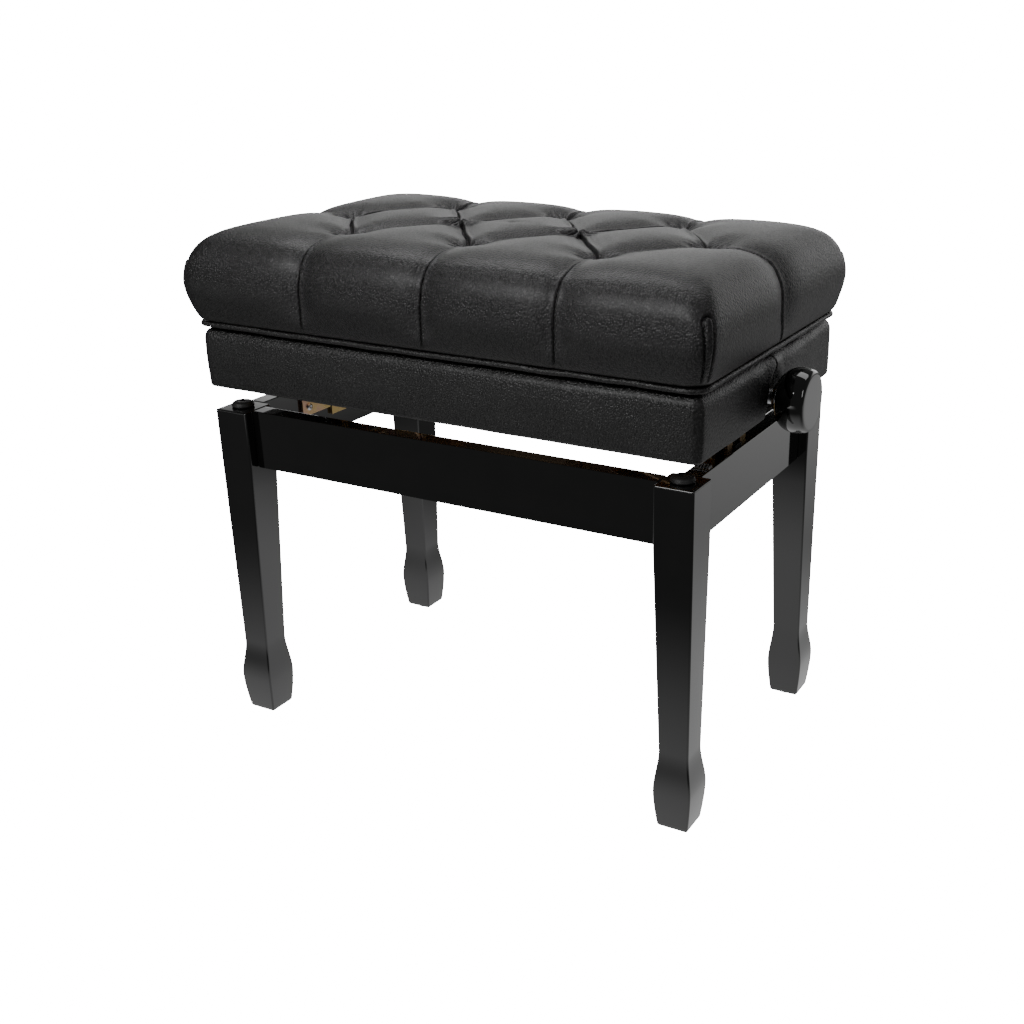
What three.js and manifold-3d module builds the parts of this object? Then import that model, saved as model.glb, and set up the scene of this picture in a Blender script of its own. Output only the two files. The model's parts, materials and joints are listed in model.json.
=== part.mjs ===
// Height-adjustable piano bench: lacquered wooden frame, upholstered seat box, and a steel lifting
// mechanism with a left-hand and right-hand threaded spindle turned by a knob at either end.
// Millimetres, +Z up, +X along the length, +Y to the back. The origin is on the floor, under the centre.
import * as THREE from 'three';
import { mergeVertices } from 'three/addons/utils/BufferGeometryUtils.js';
import Module from 'manifold-3d';

const wasm = await Module();
wasm.setup();

// ---------- driving dimensions ----------

const GAP = 0.3; // fitting gap between pieces that touch

// wooden frame
const FRAME_HALF_LENGTH = 260; // centre to the outer face of a leg, along X
const FRAME_HALF_DEPTH = 160; // centre to the outer face of a leg, along Y
const LEG_SIZE = 38; // side of the square leg at its top
const LEG_TOP = 339;
const GLIDE_THICKNESS = 2;
const APRON_HEIGHT = 58.5;
const APRON_THICKNESS = 18;
const APRON_RECESS = 10; // apron face set back from the leg face

// leg outline
const LEG_TAPER = 8; // how far an inner leg face draws in between the apron and the ankle
const ANKLE_HEIGHT = 82;
const FOOT_WIDEST_HEIGHT = 42;
const FOOT_OUTER_FLARE = 4.8;
const FOOT_INNER_FLARE = 3.4;
const FOOT_BOTTOM_INSET = 4;
const LEG_EDGE_RADIUS = 1.8;

// seat
const SKIRT_HALF_LENGTH = 264.7;
const SKIRT_HALF_DEPTH = 161.7;
const SKIRT_BOTTOM = 362;
const SKIRT_TOP = 421;
const SKIRT_THICKNESS = 18;
const BOARD_THICKNESS = 12;
const CUSHION_BOTTOM = 428;
const CUSHION_TOP = 517;
const CUSHION_BULGE = 15; // how far the padded side stands out past the skirt
const PIPING_RADIUS = 3;
const NOTCH_HALF_WIDTH = 20; // arched cut-out in each end of the skirt, for the spindle
const NOTCH_HEIGHT = 42;

// lifting mechanism, at the height it has here
const SPINDLE_Z = 380;
const SPINDLE_RADIUS = 7;
const SPINDLE_OVER_PIVOT = 8; // the spindle runs this far above the arms' middle pivots
const KNOB_RADIUS = 30;
const KNOB_INNER_X = 268;
const KNOB_OUTER_X = 304;
const ARM_LENGTH = 110; // between the pivots of one arm
const ARM_END_RADIUS = 9;
const ARM_CENTRE_Y = 45;
const LOWER_ARM_WIDTH = 34;
const UPPER_ARM_WIDTH = 26;
const STEEL = 3; // sheet thickness
const BASE_PIVOT_X = 198;
const BASE_PIVOT_Z = 343;
const BASE_ROD_RADIUS = 4;
const TOP_ROD_RADIUS = 3.5;
const JOURNAL_RADIUS = 5;
const TOP_HOLE_RADIUS = 6; // the top pivot runs with play
const NUT_RADIUS = 11;
const NUT_FLANGE_RADIUS = 15;
const NUT_HALF_LENGTH = 15;
const NUT_PLAY = 1.4; // between the nut's bore and the spindle
const RAIL_WIDTH = 28;
const BASE_RAIL_TOP = 332;
const BASE_RAIL_TAB_BOTTOM = 309;
const TOP_RAIL_HALF_DEPTH = 135;
const SCREW_HOLE_RADIUS = 2.4;
const SLIDER_X = [213.5, 234];
const SLIDER_HALF_WIDTH = 8;
const SLIDER_UP = 20;
const SLIDER_DOWN = 32;
const GUIDE_HALF_WIDTH = 22;
const BASE_GUIDE_BOTTOM = 300;
const BASE_GUIDE_TOP = 394.5;
const BASE_SLOT_BOTTOM = 336;
const SEAT_GUIDE_X = 216.5;
const SEAT_GUIDE_BOTTOM = 354;
const SEAT_GUIDE_FLANGE = 23.5;
const COLLAR_RADIUS = 11;
const COLLAR_WIDTH = 3.5;

// worked out from the above
const MIDDLE_PIVOT_Z = SPINDLE_Z - SPINDLE_OVER_PIVOT;
const HALF_RISE = MIDDLE_PIVOT_Z - BASE_PIVOT_Z;
const ARM_ANGLE = Math.asin(HALF_RISE / ARM_LENGTH);
const MIDDLE_PIVOT_X = BASE_PIVOT_X - ARM_LENGTH * Math.cos(ARM_ANGLE);
const TOP_PIVOT_Z = MIDDLE_PIVOT_Z + HALF_RISE;
const ARM_OUTER_Y = ARM_CENTRE_Y + LOWER_ARM_WIDTH / 2;
const ARM_INNER_Y = ARM_CENTRE_Y - LOWER_ARM_WIDTH / 2;
const JOURNAL_HALF_LENGTH = ARM_OUTER_Y + 4.5;
const ROD_LENGTH = 2 * (ARM_OUTER_Y + 6);
const BASE_RAIL_HALF_DEPTH = ARM_OUTER_Y + 6;
const APRON_BOTTOM = LEG_TOP - APRON_HEIGHT;
const APRON_OUTER_X = FRAME_HALF_LENGTH - APRON_RECESS;
const APRON_OUTER_Y = FRAME_HALF_DEPTH - APRON_RECESS;
const APRON_INNER_X = APRON_OUTER_X - APRON_THICKNESS;
const APRON_INNER_Y = APRON_OUTER_Y - APRON_THICKNESS;
const LEG_INNER_X = FRAME_HALF_LENGTH - LEG_SIZE;
const LEG_INNER_Y = FRAME_HALF_DEPTH - LEG_SIZE;
const LEG_CENTRE_X = FRAME_HALF_LENGTH - LEG_SIZE / 2;
const LEG_CENTRE_Y = FRAME_HALF_DEPTH - LEG_SIZE / 2;
const BOARD_TOP = CUSHION_BOTTOM - GAP;
const BOARD_BOTTOM = BOARD_TOP - BOARD_THICKNESS;
const TOP_RAIL_TOP = BOARD_BOTTOM - GAP;

// ---------- materials ----------

function finish(color, roughness, metalness) {
  return new THREE.MeshStandardMaterial({ color, roughness, metalness });
}

const lacquer = finish(0x0b0b0c, 0.12, 0);
const bareWood = finish(0xb99b6b, 0.7, 0);
const leather = finish(0x17171a, 0.45, 0);
const yellowZinc = finish(0xc9a45c, 0.35, 1);
const brightSteel = finish(0xb8b9bc, 0.3, 1);
const bronze = finish(0xa9783f, 0.4, 1);
const blackRubber = finish(0x111112, 0.7, 0);
const blackNylon = finish(0x1c1c1e, 0.55, 0);
const glossPlastic = finish(0x070708, 0.06, 0);

// ---------- solids ----------

function weld(geometry) {
  const bare = geometry.clone();
  for (const name of Object.keys(bare.attributes)) {
    if (name !== 'position') bare.deleteAttribute(name);
  }
  return mergeVertices(bare, 1e-4);
}

function toManifold(geometry) {
  const welded = weld(geometry);
  const vertProperties = new Float32Array(welded.attributes.position.array);
  const triVerts = new Uint32Array(welded.index.array);
  return new wasm.Manifold(new wasm.Mesh({ numProp: 3, vertProperties, triVerts }));
}

function toGeometry(manifold) {
  const mesh = manifold.getMesh();
  const geometry = new THREE.BufferGeometry();
  geometry.setAttribute('position', new THREE.BufferAttribute(new Float32Array(mesh.vertProperties), 3));
  geometry.setIndex(new THREE.BufferAttribute(new Uint32Array(mesh.triVerts), 1));
  return geometry;
}

function join(...geometries) {
  const solids = geometries.map(toManifold);
  return toGeometry(solids.reduce((whole, solid) => whole.add(solid)));
}

function cut(geometry, ...tools) {
  return toGeometry(tools.map(toManifold).reduce((left, tool) => left.subtract(tool), toManifold(geometry)));
}

function box([x0, x1], [y0, y1], [z0, z1]) {
  const geometry = new THREE.BoxGeometry(x1 - x0, y1 - y0, z1 - z0);
  return geometry.translate((x0 + x1) / 2, (y0 + y1) / 2, (z0 + z1) / 2);
}

// A cylinder whose axis runs along X, Y or Z through the point centre.
function rod(axis, radius, length, centre, segments = 16) {
  const geometry = new THREE.CylinderGeometry(radius, radius, length, segments);
  if (axis === 'x') geometry.rotateZ(-Math.PI / 2);
  if (axis === 'z') geometry.rotateX(Math.PI / 2);
  return geometry.translate(...centre);
}

// A shape drawn in X and Z, given a thickness along Y between y0 and y1.
function plateAcrossY(shape, [y0, y1], curveSegments = 6) {
  const geometry = new THREE.ExtrudeGeometry(shape, { depth: y1 - y0, bevelEnabled: false, curveSegments });
  return geometry.rotateX(Math.PI / 2).translate(0, y1, 0);
}

// A shape drawn in Y and Z, given a thickness along X between x0 and x1.
function plateAcrossX(shape, [x0, x1], curveSegments = 10) {
  const geometry = new THREE.ExtrudeGeometry(shape, { depth: x1 - x0, bevelEnabled: false, curveSegments });
  const yAxis = new THREE.Vector3(0, 1, 0);
  const zAxis = new THREE.Vector3(0, 0, 1);
  const xAxis = new THREE.Vector3(1, 0, 0);
  return geometry.applyMatrix4(new THREE.Matrix4().makeBasis(yAxis, zAxis, xAxis)).translate(x0, 0, 0);
}

// A turned piece. Each profile point is [radius, distance along the axis]; the axis is +Z.
function turned(profile, segments = 16) {
  const points = profile.map(([radius, along]) => new THREE.Vector2(radius, along));
  return weld(new THREE.LatheGeometry(points, segments).rotateX(Math.PI / 2));
}

// Joins rings of points into a skin, with flat ends, or with the last ring joined to the first one.
function loft(rings, endless = false) {
  const count = rings[0].length;
  const positions = rings.flat().flatMap((point) => [point.x, point.y, point.z]);
  const index = [];
  const spans = endless ? rings.length : rings.length - 1;
  for (let ring = 0; ring < spans; ring += 1) {
    const next = (ring + 1) % rings.length;
    for (let i = 0; i < count; i += 1) {
      const j = (i + 1) % count;
      const a = ring * count + i;
      const b = ring * count + j;
      const c = next * count + j;
      const d = next * count + i;
      index.push(a, b, c, a, c, d);
    }
  }
  if (!endless) {
    const last = (rings.length - 1) * count;
    for (let i = 1; i < count - 1; i += 1) {
      index.push(0, i + 1, i);
      index.push(last, last + i, last + i + 1);
    }
  }
  const geometry = new THREE.BufferGeometry();
  geometry.setAttribute('position', new THREE.Float32BufferAttribute(positions, 3));
  geometry.setIndex(index);
  return geometry;
}

// Points around a rounded rectangle at height z, counter-clockwise from above.
function roundedRing([x0, x1], [y0, y1], radius, z, steps) {
  const corners = [
    [x1 - radius, y1 - radius, 0],
    [x0 + radius, y1 - radius, 1],
    [x0 + radius, y0 + radius, 2],
    [x1 - radius, y0 + radius, 3],
  ];
  const ring = [];
  for (const [cx, cy, quarter] of corners) {
    for (let i = 0; i <= steps; i += 1) {
      const angle = (quarter + i / steps) * (Math.PI / 2);
      ring.push(new THREE.Vector3(cx + radius * Math.cos(angle), cy + radius * Math.sin(angle), z));
    }
  }
  return ring;
}

const bench = new THREE.Group();

function place(name, geometry, material, parent = bench) {
  const mesh = new THREE.Mesh(geometry, material);
  mesh.name = name;
  parent.add(mesh);
  return mesh;
}

const ENDS = [['left', -1], ['right', 1]];
const FACES = [['front', -1], ['back', 1]];
const CORNERS = FACES.flatMap(([face, sy]) => ENDS.map(([end, sx]) => [`${face}_${end}`, sx, sy]));

// A pair of numbers in rising order, mirrored to the negative side when side is -1.
const span = (side, near, far) => (side > 0 ? [near, far] : [-far, -near]);

// ---------- wooden frame ----------

const smooth = (t) => t * t * (3 - 2 * t);

// How far the outer leg face stands out, and how far the inner face draws in, at height z.
function legOutline(z) {
  const taper = THREE.MathUtils.clamp((APRON_BOTTOM - z) / (APRON_BOTTOM - ANKLE_HEIGHT), 0, 1) * LEG_TAPER;
  const below = THREE.MathUtils.clamp((ANKLE_HEIGHT - z) / (ANKLE_HEIGHT - FOOT_WIDEST_HEIGHT), 0, 1);
  const under = THREE.MathUtils.clamp((FOOT_WIDEST_HEIGHT - z) / FOOT_WIDEST_HEIGHT, 0, 1) ** 1.6;
  return {
    outward: FOOT_OUTER_FLARE * smooth(below) - FOOT_BOTTOM_INSET * under,
    inward: taper - FOOT_INNER_FLARE * smooth(below) + FOOT_BOTTOM_INSET * under,
  };
}

function leg(sx, sy) {
  const bottom = GLIDE_THICKNESS + GAP;
  const footRings = 9;
  const levels = [[bottom, 2]];
  for (let i = 0; i <= footRings; i += 1) {
    levels.push([bottom + 2 + ((ANKLE_HEIGHT - bottom - 2) * i) / footRings, 0]);
  }
  levels.push([APRON_BOTTOM, 0], [LEG_TOP - 1, 0], [LEG_TOP, 1]);
  const rings = levels.map(([z, trim]) => {
    const { outward, inward } = legOutline(z);
    const x = span(sx, LEG_INNER_X + inward + trim, FRAME_HALF_LENGTH + outward - trim);
    const y = span(sy, LEG_INNER_Y + inward + trim, FRAME_HALF_DEPTH + outward - trim);
    return roundedRing(x, y, LEG_EDGE_RADIUS, z, 2);
  });
  return loft(rings);
}

// A triangular block across the corner, notched around the leg and drilled for the leg bolt.
const BLOCK_SIZE = 46;
const BLOCK_Z = [APRON_BOTTOM + 3, APRON_BOTTOM + 26];
const BOLT_Z = (BLOCK_Z[0] + BLOCK_Z[1]) / 2;
const BOLT_RADIUS = 3.5;

function cornerFrame(sx, sy) {
  const group = new THREE.Group();
  group.position.set(sx * LEG_INNER_X, sy * LEG_INNER_Y, BOLT_Z);
  group.rotation.z = Math.atan2(-sy, -sx);
  bench.add(group);
  return group;
}

function cornerBlock() {
  const reach = APRON_RECESS - GAP; // from the leg's inner edge back to the apron
  const outline = new THREE.Shape();
  outline.moveTo(GAP, GAP);
  outline.lineTo(GAP, -reach);
  outline.lineTo(BLOCK_SIZE - APRON_RECESS, -reach);
  outline.lineTo(-reach, BLOCK_SIZE - APRON_RECESS);
  outline.lineTo(-reach, GAP);
  outline.closePath();
  const depth = BLOCK_Z[1] - BLOCK_Z[0];
  const block = new THREE.ExtrudeGeometry(outline, { depth, bevelEnabled: false });
  block.translate(0, 0, -depth / 2).rotateZ(-Math.PI / 4);
  return cut(block, rod('x', BOLT_RADIUS + GAP, 100, [0, 0, 0]));
}

function legBolt() {
  const face = (BLOCK_SIZE - APRON_RECESS - (APRON_RECESS - GAP)) / Math.SQRT2 + GAP;
  const washer = face + 1.6;
  const nut = washer + 6;
  const profile = [
    [0, 1], [BOLT_RADIUS, 1], [BOLT_RADIUS, face], [9, face], [9, washer],
    [6.4, washer], [6.4, nut], [BOLT_RADIUS, nut], [BOLT_RADIUS, nut + 5], [0, nut + 5],
  ];
  return turned(profile, 12).rotateY(Math.PI / 2);
}

function buildFrame() {
  for (const [corner, sx, sy] of CORNERS) {
    place(`leg_${corner}`, leg(sx, sy), lacquer);
    const frame = cornerFrame(sx, sy);
    place(`corner_block_${corner}`, cornerBlock(), bareWood, frame);
    place(`leg_bolt_${corner}`, legBolt(), brightSteel, frame);
    const bumper = turned([[0, 0], [10, 0], [11, 1.4], [10.4, 3.6], [8, 5], [0, 5.6]], 20);
    place(`bumper_${corner}`, bumper, blackRubber)
      .position.set(sx * LEG_CENTRE_X, sy * LEG_CENTRE_Y, LEG_TOP + GAP);
    const glideX = sx * (LEG_CENTRE_X + LEG_TAPER / 2);
    const glideY = sy * (LEG_CENTRE_Y + LEG_TAPER / 2);
    place(`floor_glide_${corner}`, turned([[0, 0], [10, 0], [11, 0.8], [11, 2], [0, 2]], 20), blackNylon)
      .position.set(glideX, glideY, 0);
  }
  const height = [APRON_BOTTOM, LEG_TOP];
  for (const [face, sy] of FACES) {
    const long = box([GAP - LEG_INNER_X, LEG_INNER_X - GAP], span(sy, APRON_INNER_Y, APRON_OUTER_Y), height);
    place(`apron_${face}`, long, lacquer);
  }
  for (const [end, sx] of ENDS) {
    const short = box(span(sx, APRON_INNER_X, APRON_OUTER_X), [GAP - LEG_INNER_Y, LEG_INNER_Y - GAP], height);
    place(`apron_${end}`, short, lacquer);
  }
}

// ---------- lifting mechanism ----------

// A pivot lug: a tongue of sheet from the rail at railZ to a round end about the pivot, seen along Y.
function lug(railZ, pivotZ, holeRadius, y) {
  const up = Math.sign(pivotZ - railZ);
  const shape = new THREE.Shape();
  shape.moveTo(-ARM_END_RADIUS, railZ);
  shape.lineTo(-ARM_END_RADIUS, pivotZ);
  shape.absarc(0, pivotZ, ARM_END_RADIUS, Math.PI, 0, up > 0);
  shape.lineTo(ARM_END_RADIUS, railZ);
  shape.closePath();
  shape.holes.push(new THREE.Path().absarc(0, pivotZ, holeRadius, 0, 2 * Math.PI, false));
  return plateAcrossY(shape, y);
}

// The two lugs that stand either side of an arm of the given half width, for the arms at front and back.
function lugPairs(railZ, pivotZ, holeRadius, halfWidth) {
  const lugs = [];
  for (const [, sy] of FACES) {
    for (const side of [-1, 1]) {
      const inner = side * (halfWidth + 1);
      const outer = side * (halfWidth + 1 + STEEL);
      const y = [sy * ARM_CENTRE_Y + Math.min(inner, outer), sy * ARM_CENTRE_Y + Math.max(inner, outer)];
      lugs.push(lug(railZ, pivotZ, holeRadius, y));
    }
  }
  return lugs;
}

// Shelf inside an end apron that carries the lugs, with tabs bent down against the apron beside the guide.
function baseRail(sx) {
  const wall = APRON_INNER_X - GAP;
  const tabStart = wall - STEEL;
  const shelfX = span(sx, BASE_PIVOT_X - RAIL_WIDTH / 2, tabStart - GAP);
  const shelfZ = [BASE_RAIL_TOP - STEEL, BASE_RAIL_TOP];
  const shelf = box(shelfX, [-BASE_RAIL_HALF_DEPTH, BASE_RAIL_HALF_DEPTH], shelfZ);
  const tabs = FACES.flatMap(([, sy]) => {
    const y = span(sy, GUIDE_HALF_WIDTH + 2, BASE_RAIL_HALF_DEPTH);
    const tab = box(span(sx, tabStart, wall), y, [BASE_RAIL_TAB_BOTTOM, BASE_RAIL_TOP]);
    const bend = box(span(sx, tabStart - 1, wall - 1), y, shelfZ);
    return [tab, bend];
  });
  const screwHoles = [-58, -34, 34, 58].map((y) => (
    rod('x', SCREW_HOLE_RADIUS, 12, [sx * wall, y, BASE_RAIL_TAB_BOTTOM + 9], 12)
  ));
  const lugs = lugPairs(BASE_RAIL_TOP - 1, BASE_PIVOT_Z, BASE_ROD_RADIUS + GAP, LOWER_ARM_WIDTH / 2);
  const placedLugs = lugs.map((geometry) => geometry.translate(sx * BASE_PIVOT_X, 0, 0));
  return cut(join(shelf, ...tabs, ...placedLugs), ...screwHoles);
}

// Cross rail under the seat board, with lugs hanging from it.
function topRail() {
  const half = RAIL_WIDTH / 2;
  const depth = [-TOP_RAIL_HALF_DEPTH, TOP_RAIL_HALF_DEPTH];
  const plate = box([-half, half], depth, [TOP_RAIL_TOP - STEEL, TOP_RAIL_TOP]);
  const screwHoles = [-128, -60, 60, 128].map((y) => (
    rod('z', SCREW_HOLE_RADIUS, 12, [0, y, TOP_RAIL_TOP], 12)
  ));
  const lugs = lugPairs(TOP_RAIL_TOP - 2, TOP_PIVOT_Z, TOP_ROD_RADIUS + GAP, UPPER_ARM_WIDTH / 2);
  return cut(join(plate, ...lugs), ...screwHoles);
}

// A pressed channel arm. It lies along +X from its first pivot, with its web on the -Z side.
function arm(width, firstHole, lastHole) {
  const side = new THREE.Shape();
  side.moveTo(0, -ARM_END_RADIUS);
  side.lineTo(ARM_LENGTH, -ARM_END_RADIUS);
  side.absarc(ARM_LENGTH, 0, ARM_END_RADIUS, -Math.PI / 2, Math.PI / 2, false);
  side.lineTo(0, ARM_END_RADIUS);
  side.absarc(0, 0, ARM_END_RADIUS, Math.PI / 2, (3 * Math.PI) / 2, false);
  side.holes.push(new THREE.Path().absarc(0, 0, firstHole, 0, 2 * Math.PI, false));
  side.holes.push(new THREE.Path().absarc(ARM_LENGTH, 0, lastHole, 0, 2 * Math.PI, false));
  const half = width / 2;
  const webEnd = 17; // the web stops short of both pivots
  const web = box([webEnd, ARM_LENGTH - webEnd], [-half, half], [-ARM_END_RADIUS, STEEL - ARM_END_RADIUS]);
  return join(plateAcrossY(side, [-half, STEEL - half]), plateAcrossY(side, [half - STEEL, half]), web);
}

// Cross bar with round ends for the arms and a boss that carries the lift nut.
function nutBar() {
  const journal = rod('y', JOURNAL_RADIUS, 2 * JOURNAL_HALF_LENGTH, [0, 0, 0]);
  const washerY = JOURNAL_HALF_LENGTH - STEEL / 2;
  const washers = FACES.map(([, sy]) => rod('y', JOURNAL_RADIUS + 3, STEEL, [0, sy * washerY, 0]));
  const beamHalf = ARM_INNER_Y - 2;
  const beam = box([-8, 8], [-beamHalf, beamHalf], [-8, 8]);
  const bossX = [-NUT_HALF_LENGTH, NUT_HALF_LENGTH];
  const boss = box(bossX, [-20, 20], [-9, SPINDLE_OVER_PIVOT + NUT_FLANGE_RADIUS + 2]);
  const bore = rod('x', NUT_RADIUS + GAP, 4 * NUT_HALF_LENGTH, [0, 0, SPINDLE_OVER_PIVOT], 20);
  return cut(join(journal, beam, boss, ...washers), bore);
}

function liftNut() {
  const inner = SPINDLE_RADIUS + NUT_PLAY;
  const start = -NUT_HALF_LENGTH;
  const shoulder = NUT_HALF_LENGTH + GAP;
  const end = shoulder + STEEL;
  const profile = [
    [inner, start], [NUT_RADIUS, start], [NUT_RADIUS, shoulder], [NUT_FLANGE_RADIUS, shoulder],
    [NUT_FLANGE_RADIUS, end], [inner, end], [inner, start],
  ];
  return turned(profile, 20).rotateY(Math.PI / 2);
}

// A flat plate with an open-ended slot that keeps the slider upright.
function slottedPlate(x, z, slotZ) {
  const slotHalf = SLIDER_HALF_WIDTH + GAP;
  const slot = box([x[0] - 1, x[1] + 1], [-slotHalf, slotHalf], slotZ);
  return cut(box(x, [-GUIDE_HALF_WIDTH, GUIDE_HALF_WIDTH], z), slot);
}

function baseGuide(sx) {
  const x = span(sx, APRON_INNER_X - GAP - STEEL, APRON_INNER_X - GAP);
  return slottedPlate(x, [BASE_GUIDE_BOTTOM, BASE_GUIDE_TOP], [BASE_SLOT_BOTTOM, BASE_GUIDE_TOP + 2]);
}

function seatGuide(sx) {
  const x = span(sx, SEAT_GUIDE_X, SEAT_GUIDE_X + STEEL);
  const slotZ = [SEAT_GUIDE_BOTTOM - 2, TOP_RAIL_TOP - 2 * STEEL];
  const plate = slottedPlate(x, [SEAT_GUIDE_BOTTOM, TOP_RAIL_TOP], slotZ);
  const flangeX = span(sx, SEAT_GUIDE_X, SEAT_GUIDE_X + SEAT_GUIDE_FLANGE);
  const flangeZ = [TOP_RAIL_TOP - STEEL, TOP_RAIL_TOP];
  return join(plate, box(flangeX, [-GUIDE_HALF_WIDTH, GUIDE_HALF_WIDTH], flangeZ));
}

function slider(sx) {
  const halfY = [-SLIDER_HALF_WIDTH, SLIDER_HALF_WIDTH];
  const block = box(span(sx, ...SLIDER_X), halfY, [SPINDLE_Z - SLIDER_DOWN, SPINDLE_Z + SLIDER_UP]);
  return cut(block, rod('x', SPINDLE_RADIUS + GAP, 60, [sx * SLIDER_X[0], 0, SPINDLE_Z]));
}

function spindle() {
  const innerCollar = SLIDER_X[0] - 0.5 - COLLAR_WIDTH;
  const outerCollar = SLIDER_X[1] + 0.5;
  const end = KNOB_INNER_X + 22;
  const collars = [innerCollar, outerCollar].flatMap((x) => [
    [SPINDLE_RADIUS, x], [COLLAR_RADIUS, x],
    [COLLAR_RADIUS, x + COLLAR_WIDTH], [SPINDLE_RADIUS, x + COLLAR_WIDTH],
  ]);
  const half = [...collars, [SPINDLE_RADIUS, end - 1], [SPINDLE_RADIUS - 1, end], [0, end]];
  const mirrored = half.map(([radius, x]) => [radius, -x]).reverse();
  return turned([...mirrored, ...half]).rotateY(Math.PI / 2);
}

// A mushroom knob with a flat outer face and a blind bore. Its inner end is at 0 on the axis, +Z.
function knob() {
  const depth = KNOB_OUTER_X - KNOB_INNER_X;
  const bore = SPINDLE_RADIUS + GAP;
  const body = new THREE.CubicBezierCurve(
    new THREE.Vector2(13, 5),
    new THREE.Vector2(KNOB_RADIUS - 3, 4.5),
    new THREE.Vector2(KNOB_RADIUS + 3, depth * 0.5),
    new THREE.Vector2(KNOB_RADIUS - 1.4, depth - 3.5),
  );
  const rim = new THREE.QuadraticBezierCurve(
    new THREE.Vector2(KNOB_RADIUS - 1.4, depth - 3.5),
    new THREE.Vector2(KNOB_RADIUS - 2.6, depth),
    new THREE.Vector2(KNOB_RADIUS - 5.5, depth),
  );
  const outside = [...body.getPoints(8), ...rim.getPoints(3).slice(1)].map((point) => [point.x, point.y]);
  const start = [[0, 24], [bore, 24], [bore, 0], [12, 0]];
  return turned([...start, ...outside, [0, depth]], 28);
}

function buildLift() {
  for (const [end, sx] of ENDS) {
    const atBasePivot = new THREE.Group();
    atBasePivot.position.x = sx * BASE_PIVOT_X;
    bench.add(atBasePivot);
    place(`base_rail_${end}`, baseRail(sx), yellowZinc);
    place(`top_rail_${end}`, topRail(), yellowZinc, atBasePivot);
    const baseRod = rod('y', BASE_ROD_RADIUS, ROD_LENGTH, [0, 0, BASE_PIVOT_Z]);
    place(`base_pivot_rod_${end}`, baseRod, brightSteel, atBasePivot);
    const topRod = rod('y', TOP_ROD_RADIUS, ROD_LENGTH, [0, 0, TOP_PIVOT_Z]);
    place(`top_pivot_rod_${end}`, topRod, brightSteel, atBasePivot);
    for (const [face, sy] of FACES) {
      const lower = arm(LOWER_ARM_WIDTH, BASE_ROD_RADIUS + GAP, JOURNAL_RADIUS + GAP);
      const lowerArm = place(`lower_arm_${face}_${end}`, lower, yellowZinc);
      lowerArm.position.set(sx * BASE_PIVOT_X, sy * ARM_CENTRE_Y, BASE_PIVOT_Z);
      lowerArm.rotation.set(0, -ARM_ANGLE, sx > 0 ? Math.PI : 0, 'ZYX');
      const upper = arm(UPPER_ARM_WIDTH, JOURNAL_RADIUS + GAP, TOP_HOLE_RADIUS);
      const upperArm = place(`upper_arm_${face}_${end}`, upper, yellowZinc);
      upperArm.position.set(sx * MIDDLE_PIVOT_X, sy * ARM_CENTRE_Y, MIDDLE_PIVOT_Z);
      upperArm.rotation.set(0, ARM_ANGLE - Math.PI, sx > 0 ? Math.PI : 0, 'ZYX');
    }
    const atMiddlePivot = new THREE.Group();
    atMiddlePivot.position.set(sx * MIDDLE_PIVOT_X, 0, MIDDLE_PIVOT_Z);
    bench.add(atMiddlePivot);
    place(`nut_bar_${end}`, nutBar(), yellowZinc, atMiddlePivot);
    const nut = place(`lift_nut_${end}`, liftNut(), bronze, atMiddlePivot);
    nut.position.z = SPINDLE_OVER_PIVOT;
    nut.rotation.z = sx > 0 ? 0 : Math.PI;
    place(`base_guide_${end}`, baseGuide(sx), yellowZinc);
    place(`seat_guide_${end}`, seatGuide(sx), yellowZinc);
    place(`spindle_slider_${end}`, slider(sx), blackNylon);
    const handle = place(`knob_${end}`, knob(), glossPlastic);
    handle.position.set(sx * KNOB_INNER_X, 0, SPINDLE_Z);
    handle.rotation.y = (sx * Math.PI) / 2;
  }
  place('spindle', spindle(), brightSteel).position.z = SPINDLE_Z;
}

// ---------- seat ----------

// An end board of the skirt: a rectangle in Y and Z with an arched cut-out in its lower edge.
function skirtEnd(sx) {
  const halfDepth = SKIRT_HALF_DEPTH - SKIRT_THICKNESS - GAP;
  const outline = new THREE.Shape();
  outline.moveTo(-halfDepth, SKIRT_BOTTOM);
  outline.lineTo(-NOTCH_HALF_WIDTH, SKIRT_BOTTOM);
  outline.absellipse(0, SKIRT_BOTTOM, NOTCH_HALF_WIDTH, NOTCH_HEIGHT, Math.PI, 0, true, 0);
  outline.lineTo(halfDepth, SKIRT_BOTTOM);
  outline.lineTo(halfDepth, SKIRT_TOP);
  outline.lineTo(-halfDepth, SKIRT_TOP);
  outline.closePath();
  return plateAcrossX(outline, span(sx, SKIRT_HALF_LENGTH - SKIRT_THICKNESS, SKIRT_HALF_LENGTH));
}

// The padded top as one plain solid: a rounded rectangle that swells, then rounds over to a crown.
function cushion() {
  const height = CUSHION_TOP - CUSHION_BOTTOM;
  const edge = new THREE.SplineCurve([
    new THREE.Vector2(3, 0),
    new THREE.Vector2(CUSHION_BULGE - 2, height * 0.2),
    new THREE.Vector2(CUSHION_BULGE, height * 0.42),
    new THREE.Vector2(CUSHION_BULGE - 10, height * 0.7),
    new THREE.Vector2(CUSHION_BULGE - 45, height * 0.9),
    new THREE.Vector2(CUSHION_BULGE - 110, height),
  ]);
  const rings = edge.getPoints(12).map((point) => {
    const x = SKIRT_HALF_LENGTH + point.x;
    const y = SKIRT_HALF_DEPTH + point.x;
    const radius = Math.min(18 + point.y * 0.3, y - 5);
    return roundedRing([-x, x], [-y, y], radius, CUSHION_BOTTOM + point.y, 4);
  });
  return loft(rings);
}

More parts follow.
